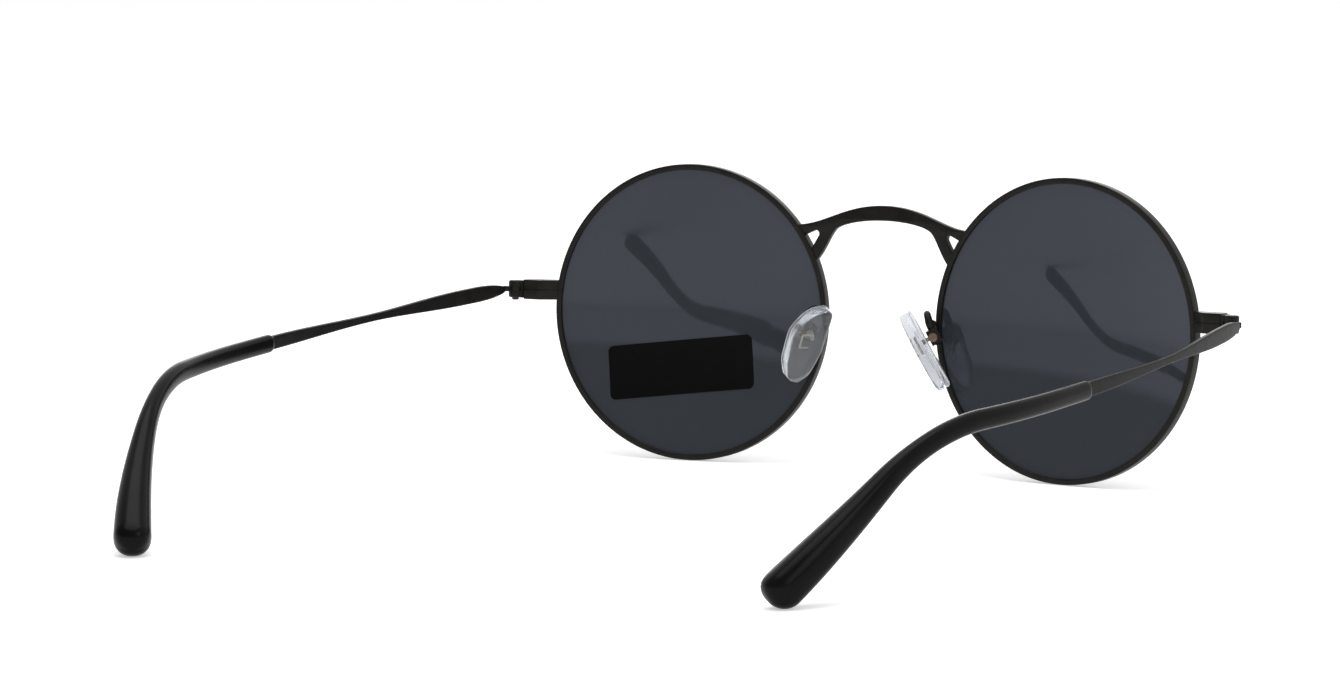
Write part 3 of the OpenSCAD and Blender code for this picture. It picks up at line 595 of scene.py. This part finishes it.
def section(s, h, t, power, sides):
    """Ring at a station, h high and t thick, between an ellipse (power 2) and a rectangle."""
    d = path_dir(s)
    out = Vector((math.cos(heading(s)), -math.sin(heading(s)), 0))
    up = out.cross(d)
    lean = math.radians(through(LEANS, s))
    e_up = up * math.cos(lean) + out * math.sin(lean)
    e_out = out * math.cos(lean) - up * math.sin(lean)
    p = path_point(s)
    ring = []
    for k in range(sides):
        a = 2 * math.pi * (k + 0.5) / sides
        x = math.copysign(abs(math.cos(a)) ** (2 / power), math.cos(a))
        y = math.copysign(abs(math.sin(a)) ** (2 / power), math.sin(a))
        ring.append(p + e_out * x * t / 2 + e_up * y * h / 2)
    return ring


def blade_height(s):
    """Height of the blade, which grows from the hinge's tongue round its nose."""
    u = min(1, BLADE_LEAD + (1 - BLADE_LEAD) * (s - BLADE_FRONT) / BLADE_NOSE)
    return through(HEIGHTS, s) * math.sqrt(1 - (1 - u) ** 2)


def temple(side, name, body):
    """Metal blade, broad near the hinge, with the core wire that runs on in the tip."""
    sides, nose_power, blade_power = 32, 5, 6
    # the nose is rounded over its first part, and least keeps its end from being a point
    nose_len, rounded_part, least = 0.4, 0.72, 0.2
    start = BLADE_FRONT + 0.02
    rings = []
    for u in (0.0, 0.12, 0.28, 0.48, rounded_part):
        s = start + u * nose_len
        f = math.sqrt(max(least, 1 - (1 - u / rounded_part) ** 2))
        rings.append(section(s, blade_height(s) * f, BLADE_T * f, nose_power, sides))
    # first station, step and number of the blade's stretches, then the core wire
    stretches = ((BLADE_FRONT + nose_len, 0.2, 45), (10.9, 0.6, 45), (38.0, 0.8, 40))
    stations = [first + step * i for first, step, count in stretches for i in range(count)]
    stations += [TIP_AT + d for d in (5, 8, 20, 28.5)]
    stations += [BEND_START + d for d in (3, 7, 11, 15, 19)]
    stations += [BEND_END, CORE_END]
    rings += [section(s, blade_height(s), BLADE_T, blade_power, sides) for s in stations]
    make(name, skin(rings), body, name, BLADE, side, sharp=60)


def tip(side, name, body):
    """Acetate ear piece, thicker towards its rounded end."""
    entry, entry_drop, gap, sides, power = 0.9, 0.45, 0.6, 48, 2.4
    round_start = TEMPLE_LEN - TIP_ROUND

    def factor(s, lift):
        """Share of the full section at s; the end is rounder below, where the tip stands."""
        if s > round_start:
            curve = 2 + 0.9 * max(0.0, lift)
            return max(0.0, 1 - ((s - round_start) / TIP_ROUND) ** curve) ** (1 / curve)
        if s < TIP_AT + entry:
            u = 1 - (s - TIP_AT) / entry
            return math.sqrt(1 - entry_drop * u * u)
        return 1.0

    stations = [TIP_AT + entry * (1 - math.cos(math.pi / 2 * k / 6)) for k in range(7)]
    middle = TIP_AT + entry + gap
    stations += [middle + gap * i for i in range(math.ceil((round_start - gap / 2 - middle) / gap))]
    stations += [round_start + TIP_ROUND * math.sin(math.radians(a))
                 for a in (0, 12, 24, 36, 48, 58, 67, 75, 82, 87.5)]
    rings = []
    for s in stations:
        centre = path_point(s)
        rings.append([centre + (q - centre) * factor(s, (q - centre).normalized().z)
                      for q in section(s, through(TIP_H, s), through(TIP_T, s), power, sides)])
    make(name, skin(rings), body, name, ACETATE, side, sharp=55)


# Nose pads. In a pad's frame X points away from the nose, Y back and Z up along the pad.

PAD_Y, PAD_Z, PAD_SPLAY, PAD_TILT = 3.05, -4.2, math.radians(28), math.radians(29)
PAD_POS = Vector((nasal_x(PAD_Z), PAD_Y, PAD_Z))
PAD_TURN = Matrix.Rotation(-PAD_SPLAY, 3, "Z") @ Matrix.Rotation(-PAD_TILT, 3, "Y")
PAD_LEN, PAD_W, PAD_T, PAD_CROWN, PAD_BACK = 14.3, 7.3, 2.65, 120.0, 0.7
PIVOT_OUT, PIVOT_UP = 2.4, 1.3


def pad_point(x, y, z):
    """A point of the left pad's frame in the front's frame."""
    return PAD_POS + PAD_TURN @ Vector((x, y, z))


def pad_piece(name, rings, body, node, finish, side, sharp):
    """Piece of a pad from rings of (y and z, x)."""
    solid = [[pad_point(x, p.x, p.y) for p, x in ring] for ring in rings]
    make(name, skin(solid), body, node, finish, side, sharp)


def pad_outline():
    """D-shaped outline of a pad: corners in shares of its half width and half length."""
    corners = [(-0.89, 0.89, 1.1), (-0.53, 1.005, 1.6), (0.32, 0.94, 4.2), (1.03, 0.4, 4.5),
               (0.94, -0.42, 4), (0.53, -0.95, 2.2), (-0.16, -1.03, 2), (-0.74, -0.81, 2.6),
               (-1.01, -0.15, 6)]
    outline = spread(rounded([(y * PAD_W / 2 + PAD_BACK, z * PAD_LEN / 2, radius)
                              for y, z, radius in corners], 9), 0.3)
    centre = centre_of(outline)
    smoothings, regain = 12, 1.012
    for _ in range(smoothings):
        nexts = outline[1:] + outline[:1]
        outline = [(outline[i - 1] + 2 * p + q) / 4 for i, (p, q) in enumerate(zip(outline, nexts))]
    return [centre + (p - centre) * regain for p in outline]


def nose_pad(side, name, body):
    """Clear pad with a full edge: two soft lips with a groove between them, deeper at the foot."""
    half, half_len = PAD_T / 2, PAD_LEN / 2
    slant_low, slant_top = 0.8, 0.3
    groove_share, groove_gain, groove_sink = 0.3, 1.2, 0.35
    outline = pad_outline()
    centre = centre_of(outline)
    pairs = list(zip(outline, outward(outline)))

    def front_x(p, depth):
        """X at a depth under the crowned front, whose crown fades towards the flat back."""
        off = (p.x - PAD_BACK) ** 2 + p.y ** 2
        crown = PAD_CROWN - math.sqrt(PAD_CROWN ** 2 - off)
        return -half + crown * (1 - depth / PAD_T) + depth

    def slant(p, n, depth):
        """The edge that faces the front leans, so that the nose side is narrower there."""
        most = slant_low + (slant_top - slant_low) * max(0.0, p.y / half_len)
        return most * max(0.0, -n.x) * (1 - depth / PAD_T)

    def face(share):
        """Points of the outline, drawn in towards the middle."""
        return [centre + (p - centre) * share for p in outline]

    def front_edge(inset, depth):
        """Ring of the edge between the crowned front and the groove."""
        ring = [p - n * (inset + slant(p, n, depth)) for p, n in pairs]
        return [(q, front_x(q, depth)) for q in ring]

    def groove(inset, depth):
        """Ring in the groove, which is deeper and nearer the middle at the lower end."""
        ring = []
        for p, n in pairs:
            foot = max(0.0, -p.y / half_len) ** 3
            q = p - n * (inset * (groove_share + groove_gain * foot) + slant(p, n, depth))
            ring.append((q, front_x(p, depth - groove_sink * foot)))
        return ring

    rings = [[(q, front_x(q, 0)) for q in face(share)] for share in (0.03, 0.2, 0.4, 0.55)]
    rings += [front_edge(inset, depth) for inset, depth in (
        (0.75, 0.0), (0.5, 0.03), (0.3, 0.1), (0.14, 0.22), (0.03, 0.42), (0.0, 0.65), (0.0, 1.3))]
    rings += [groove(inset, depth) for inset, depth in (
        (0.03, 1.62), (0.1, 1.68), (0.32, 1.75), (0.42, 1.87), (0.32, 1.99), (0.1, 2.06),
        (0.03, 2.12))]
    rings += inset_rings(outline, [(half - 0.4, 0.0), (half - 0.26, 0.04), (half - 0.13, 0.12),
                                   (half - 0.04, 0.26), (half, 0.5)])
    rings += [[(q, half) for q in face(share)] for share in (0.6, 0.3, 0.03)]
    pad_piece(name, rings, body, name, SILICONE, side, sharp=70)


def pad_plate(side, name, body):
    """Stiff clear plate inside the pad."""
    share, soft, front, back, edge = 0.22, 0.6, -0.1, 0.5, 0.08
    w, l = PAD_W * share, PAD_LEN * share
    plate = rounded([(-w, -l, soft), (w, -l, soft), (w, l, soft), (-w, l, soft)])
    rings = inset_rings(plate, [(front, 0.1), (front + edge, 0), (back - edge, 0), (back, 0.1)])
    pad_piece(name, rings, body, name, CORE, side, sharp=50)


def pad_bracket(side, name, body):
    """Square hook of wire in the middle of the plate, open towards the front."""
    wire_r, wire_x, sides, bend_r = 0.19, -0.3, 12, 0.3
    front, back, low, high = 0.6, 2.4, PIVOT_UP - 1.5, PIVOT_UP + 1.0
    low_front, low_back = Vector((front, low)), Vector((back, low))
    high_front, high_back = Vector((front, high)), Vector((back, high))
    hook = [low_front, *fillet(low_front, low_back, high_back, bend_r),
            *fillet(low_back, high_back, high_front, bend_r), Vector((front - 0.3, high))]
    last = len(hook) - 1
    rings = []
    for i, p in enumerate(hook):
        t = (hook[min(i + 1, last)] - hook[max(i - 1, 0)]).normalized()
        n = Vector((-t.y, t.x))
        rings.append([(p + n * wire_r * math.cos(a), wire_x + wire_r * math.sin(a))
                      for a in (2 * math.pi * k / sides for k in range(sides))])
    pad_piece(name, rings, body, None, BRACKET, side, sharp=50)


def pad_neck(side, name, body):
    """Square neck from the plate to the knuckle."""
    half, soft = 0.35, 0.15
    neck = rounded([(y * half, PIVOT_UP + z * half, soft)
                    for y, z in ((-1, -1), (1, -1), (1, 1), (-1, 1))])
    start, edge, reach = 0.3, 0.1, PIVOT_OUT - 0.72
    rings = inset_rings(neck, [(start, 0.06), (start + edge, 0), (reach, 0)])
    pad_piece(name, rings, body, None, BRACKET, side, sharp=50)


def pad_knuckle(side, name, body):
    """Ring round the pad screw, on which the pad rocks."""
    half, outer, bore, soft, steps = 0.65, 0.8, 0.56, 0.08, 40
    profile = [(outer, -half + soft), (outer, half - soft), (outer - soft, half), (bore, half),
               (bore, -half), (outer - soft, -half)]
    rings = [[pad_point(PIVOT_OUT + r * math.cos(a), y, PIVOT_UP + r * math.sin(a))
              for r, y in profile] for a in (2 * math.pi * k / steps for k in range(steps))]
    make(name, skin(rings, closed=True), body, None, BRACKET, side, sharp=40)


# Pad arms: round wire from the back of the rim, up and round a loop, down to the pad box

ARM_R = 0.6  # the CAD arm is 0.58


def smooth_route(points, steps):
    """Curve through all the points, with steps between each two."""
    out = []
    last = len(points) - 1
    for i in range(last):
        a, b = points[max(i - 1, 0)], points[i]
        c, d = points[i + 1], points[min(i + 2, last)]
        for k in range(steps):
            t = k / steps
            out.append(0.5 * (2 * b + (c - a) * t + (2 * a - 5 * b + 4 * c - d) * t * t
                              + (3 * b - a - 3 * c + d) * t ** 3))
    return out + [points[-1]]


def pad_arm(side, name):
    """Wire that starts in the pad box and ends in a rounded foot on the back of the rim."""
    sides, arm_x, box_top = 20, PIVOT_OUT + 0.4, PIVOT_UP + 1.3
    foot_r, foot_steps, least = RIM_OUT - 0.3, 4, 0.1
    # places on the loop from the top of the box: out, back and up
    loop = ((0, 0, -0.3), (0.1, 0, 1), (0.4, -0.4, 2), (0.5, -1.5, 2.45), (0.4, -2.6, 2),
            (0.2, -3.1, 0.8))
    # places on the rim: angle about the lens axis and gap behind the rim
    foot = ((180, 0.4), (184, 0.02), (188, 0.02))
    places = [pad_point(arm_x + x, y, box_top + z) for x, y, z in loop]
    places += [turned(foot_r, RIM_HALF + ARM_R + gap, math.radians(a)) for a, gap in foot]
    route = smooth_route(places, 12)
    last = len(route) - 1
    normal = (route[1] - route[0]).cross(Vector((1, 0, 0)))
    rings = []
    for i, p in enumerate(route):
        d = (route[min(i + 1, last)] - route[max(i - 1, 0)]).normalized()
        normal = (normal - d * normal.dot(d)).normalized()
        across = d.cross(normal)
        along = max(0, (i - last + foot_steps) / (foot_steps + 0.2))
        end = math.sqrt(max(least, 1 - along ** 2))
        rings.append([p + ARM_R * end * (math.cos(a) * normal + math.sin(a) * across)
                      for a in (2 * math.pi * k / sides for k in range(sides))])
    make(name, skin(rings), "front", name, PAINT, side, sharp=60)


for side, hand in ((1, "left"), (-1, "right")):
    rim(side, f"{hand}_rim")
    closing_block(side, f"{hand}_upper_closing_block", 1)
    closing_block(side, f"{hand}_lower_closing_block", -1)
    front_hinge(side, f"{hand}_front_hinge")
    lens(side, f"{hand}_lens")
    temple(side, f"{hand}_temple", f"{hand}_temple")
    tip(side, f"{hand}_temple_tip", f"{hand}_temple")
    nose_pad(side, f"{hand}_nose_pad", f"{hand}_pad")
    pad_plate(side, f"{hand}_pad_core", f"{hand}_pad")
    pad_bracket(side, f"{hand}_pad_core_bracket", f"{hand}_pad")
    pad_neck(side, f"{hand}_pad_core_neck", f"{hand}_pad")
    pad_knuckle(side, f"{hand}_pad_core_knuckle", f"{hand}_pad")
    pad_arm(side, f"{hand}_pad_arm")
sticker()
bridge()

# CAD nodes that stay: modifiers round and smooth their edges, which leaves their meshes alone

# Material and width of the rounded edges, by the end of a node's name
FINISH = {
    "closing_screw": (STEEL, 0.06),
    "hinge_screw": (STEEL, 0.06),
    "temple_hinge": (PAINT, 0.1),
    "pad_box": (PAINT, 0.14),
    "pad_screw": (BRASS, 0.06),
}


def smooth_group():
    """Geometry nodes that shade a mesh smooth."""
    group = bpy.data.node_groups.new("smooth_shading", "GeometryNodeTree")
    for way in ("INPUT", "OUTPUT"):
        group.interface.new_socket("Geometry", in_out=way, socket_type="NodeSocketGeometry")
    start = group.nodes.new("NodeGroupInput")
    smooth = group.nodes.new("GeometryNodeSetShadeSmooth")
    end = group.nodes.new("NodeGroupOutput")
    group.links.new(start.outputs[0], smooth.inputs["Geometry"])
    group.links.new(smooth.outputs[0], end.inputs[0])
    return group


smoothing = smooth_group()
for name, node in frame["nodes"].items():
    if node.hide_render:
        continue
    finish, width = next(look for end, look in FINISH.items() if name.endswith(end))
    node.data.materials.clear()
    node.data.materials.append(finish)
    node.modifiers.new("smooth", "NODES").node_group = smoothing
    rounding = node.modifiers.new("edge", "BEVEL")
    rounding.width = width / 1000
    rounding.segments = 3
    rounding.limit_method = "ANGLE"
    rounding.angle_limit = math.radians(35)
    node.modifiers.new("shading", "WEIGHTED_NORMAL").keep_sharp = True

# Stage, in metres: pale floor, white surround and lamps

FLOOR_REACH, FLOOR_GLOW = 6.0, 0.42
WORLD_LIGHT, WORLD_SEEN, WORLD_DIM = 0.55, 1.0, 0.3
# Where the room turns dim: height and depth of the direction that gloss looks in
DIM_ABOVE, DIM_BEHIND = (0.1, 0.13), (-0.2, 0.2)


def lay_floor():
    """Pale floor that glows a little where it is seen, in gloss and through clear pieces too."""
    mesh = bpy.data.meshes.new("floor")
    corners = [(x * FLOOR_REACH, y * FLOOR_REACH, 0)
               for x, y in ((-1, -1), (1, -1), (1, 1), (-1, 1))]
    mesh.from_pydata(corners, [], [(0, 1, 2, 3)])
    pale = bpy.data.materials.new("floor")
    pale.use_nodes = True
    tree = pale.node_tree
    path = tree.nodes.new("ShaderNodeLightPath")
    seen = maths(tree, "MAXIMUM", path.outputs["Is Camera Ray"], path.outputs["Is Glossy Ray"])
    seen = maths(tree, "MAXIMUM", seen, path.outputs["Is Transmission Ray"])
    feed(tree.nodes["Principled BSDF"], {
        "Base Color": (0.9, 0.9, 0.9, 1), "Roughness": 0.9, "Specular IOR Level": 0.0,
        "Emission Color": WHITE, "Emission Strength": maths(tree, "MULTIPLY", seen, FLOOR_GLOW)})
    mesh.materials.append(pale)
    floor = bpy.data.objects.new("floor", mesh)
    scene.collection.objects.link(floor)


def surround():
    """White world. In gloss it is a white room, dimmer high up behind the glasses."""
    world = bpy.data.worlds.new("surround")
    scene.world = world
    world.use_nodes = True
    tree = world.node_tree
    tree.nodes.clear()

    def background(strength):
        """White light of a strength."""
        inputs = {"Color": WHITE, "Strength": strength}
        return add(tree, "ShaderNodeBackground", inputs).outputs["Background"]

    def ramp(source, start, end, first=0.0, last=1.0):
        """Goes from first to last while source goes from start to end."""
        return add(tree, "ShaderNodeMapRange", {
            "Value": source, "From Min": start, "From Max": end, "To Min": first,
            "To Max": last}).outputs["Result"]

    def mix(share, one, other):
        """One where share is 0 and the other where it is 1."""
        return add(tree, "ShaderNodeMixShader", {"Fac": share, 1: one, 2: other}).outputs["Shader"]

    way = tree.nodes.new("ShaderNodeTexCoord").outputs["Generated"]
    split = add(tree, "ShaderNodeSeparateXYZ", {"Vector": way})
    high = ramp(split.outputs["Z"], *DIM_ABOVE)
    behind = ramp(split.outputs["Y"], *DIM_BEHIND)
    room = background(ramp(maths(tree, "MULTIPLY", high, behind), 0.0, 1.0, 1.0, WORLD_DIM))
    path = tree.nodes.new("ShaderNodeLightPath")
    direct = maths(tree, "MAXIMUM", path.outputs["Is Camera Ray"],
                   path.outputs["Is Transmission Ray"])
    light = mix(path.outputs["Is Glossy Ray"], background(WORLD_LIGHT), room)
    shown = mix(direct, light, background(WORLD_SEEN))
    add(tree, "ShaderNodeOutputWorld", {"Surface": shown})


def area(name, place, target, size, power):
    """Rectangular lamp that faces its target."""
    data = bpy.data.lights.new(name, "AREA")
    data.shape = "RECTANGLE"
    data.size, data.size_y = size
    data.energy = power
    lamp = bpy.data.objects.new(name, data)
    lamp.location = place
    lamp.rotation_euler = (Vector(target) - Vector(place)).to_track_quat("-Z", "Y").to_euler()
    scene.collection.objects.link(lamp)
    return lamp


lay_floor()
surround()
area("overhead", place=(0.0, 0.1, 1.2), target=(0, 0, 0), size=(1.0, 1.0), power=8.0)
area("behind_right", place=(-1.1, 0.5, 0.7), target=(0, 0, 0.02), size=(0.5, 0.8), power=3.0)
# This lamp shows only as gloss along the top edges
front_low = area("front_low", place=(0.7, -1.2, 0.3), target=(0, 0, 0.03), size=(1.2, 0.6),
                 power=3.5)
front_low.visible_diffuse = False
front_low.visible_transmission = False

# Camera, placed in the front's frame by the fit of the front's outline in the picture

CAM_POS = (-466.699, 859.155, 62.77)
CAM_RIGHT = (-0.861255, -0.507964, 0.014578)
CAM_UP = (0.048391, -0.053422, 0.997399)
# Size of the picture, focal length and middle of the view, all in the picture's pixels
WIDE, HIGH, FOCAL_PX, MID_X, MID_Y = 1340.0, 700.0, 5794.2, 676.816, 356.38


def place_camera():
    """Camera with the picture's view."""
    cam = bpy.data.cameras.new("camera")
    cam.sensor_width = 36.0
    cam.lens = FOCAL_PX / WIDE * cam.sensor_width
    cam.shift_x = (WIDE / 2 - MID_X) / WIDE
    cam.shift_y = (MID_Y - HIGH / 2) / WIDE
    cam.clip_start = 0.01
    cam.clip_end = 30
    camera = bpy.data.objects.new("camera", cam)
    right, up = TURN @ Vector(CAM_RIGHT), TURN @ Vector(CAM_UP)
    axes = Matrix((right, up, right.cross(up)))
    camera.matrix_world = Matrix.Translation(row(CAM_POS)) @ axes.transposed().to_4x4()
    scene.collection.objects.link(camera)
    scene.camera = camera


place_camera()
scene.view_settings.view_transform = "Standard"

bpy.context.view_layer.update()
